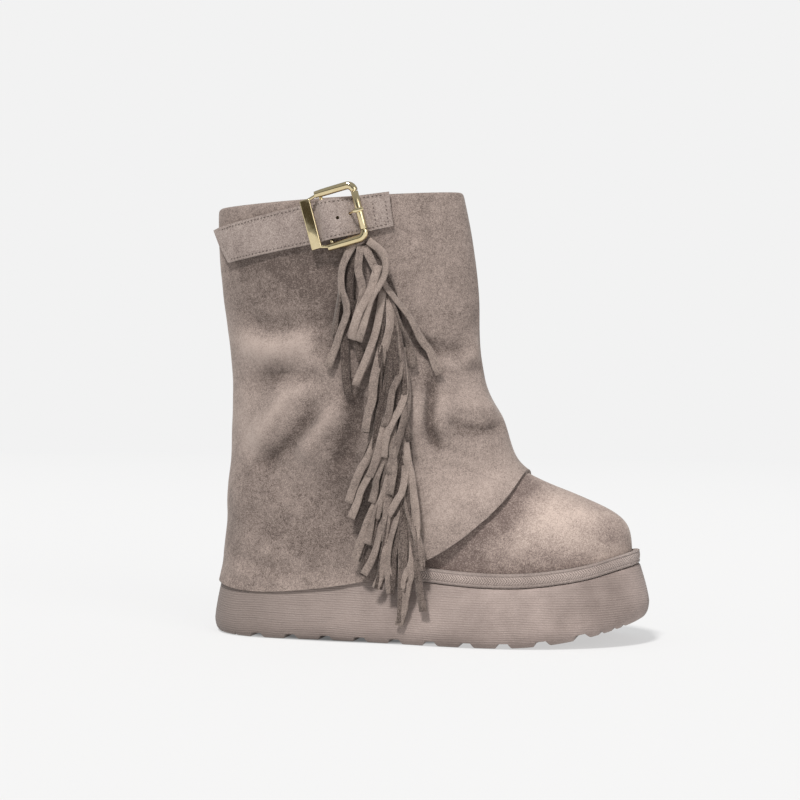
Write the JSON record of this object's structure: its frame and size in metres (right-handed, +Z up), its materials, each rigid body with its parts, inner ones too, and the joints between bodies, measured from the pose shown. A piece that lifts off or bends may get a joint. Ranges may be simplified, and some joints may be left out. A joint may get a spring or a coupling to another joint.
{
  "type": "fold-over platform boot",
  "caption": "Platform boot for the right foot, its soft shaft folded over and down to the sole, with a buckled strap and a fringe on the outer side.",
  "frame": {"origin": "on the floor under the middle of a heel lug, 53 mm in front of the sole's back end", "axes": "+X to the toe, +Y to the inner side of the foot, +Z up, and the sole stands on z = 0"},
  "size_m": [0.2934, 0.1128, 0.2966],
  "materials": {
    "sole_foam": "matt moulded foam with fine level lines",
    "sock_lining": "short brushed pile",
    "rand_weave": "woven herringbone tape",
    "vamp_suede": "brushed suede cloth, pale where the nap lies flat",
    "shaft_suede": "brushed suede cloth with cloudy nap",
    "strap_suede": "suede cloth strap, edge stitched",
    "gold_metal": "polished pale gold plating",
    "fringe_suede": "cut suede cloth strips"
  },
  "bodies": {
    "root": {"platform_sole": "sole_foam", "insole": "sock_lining", "rand": "rand_weave", "upper": "vamp_suede", "fold_over_shaft": "shaft_suede", "strap": "strap_suede", "buckle_frame": "gold_metal", "buckle_roller": "gold_metal", "buckle_prong": "gold_metal", "fringe": "fringe_suede"}
  },
  "joints": []
}
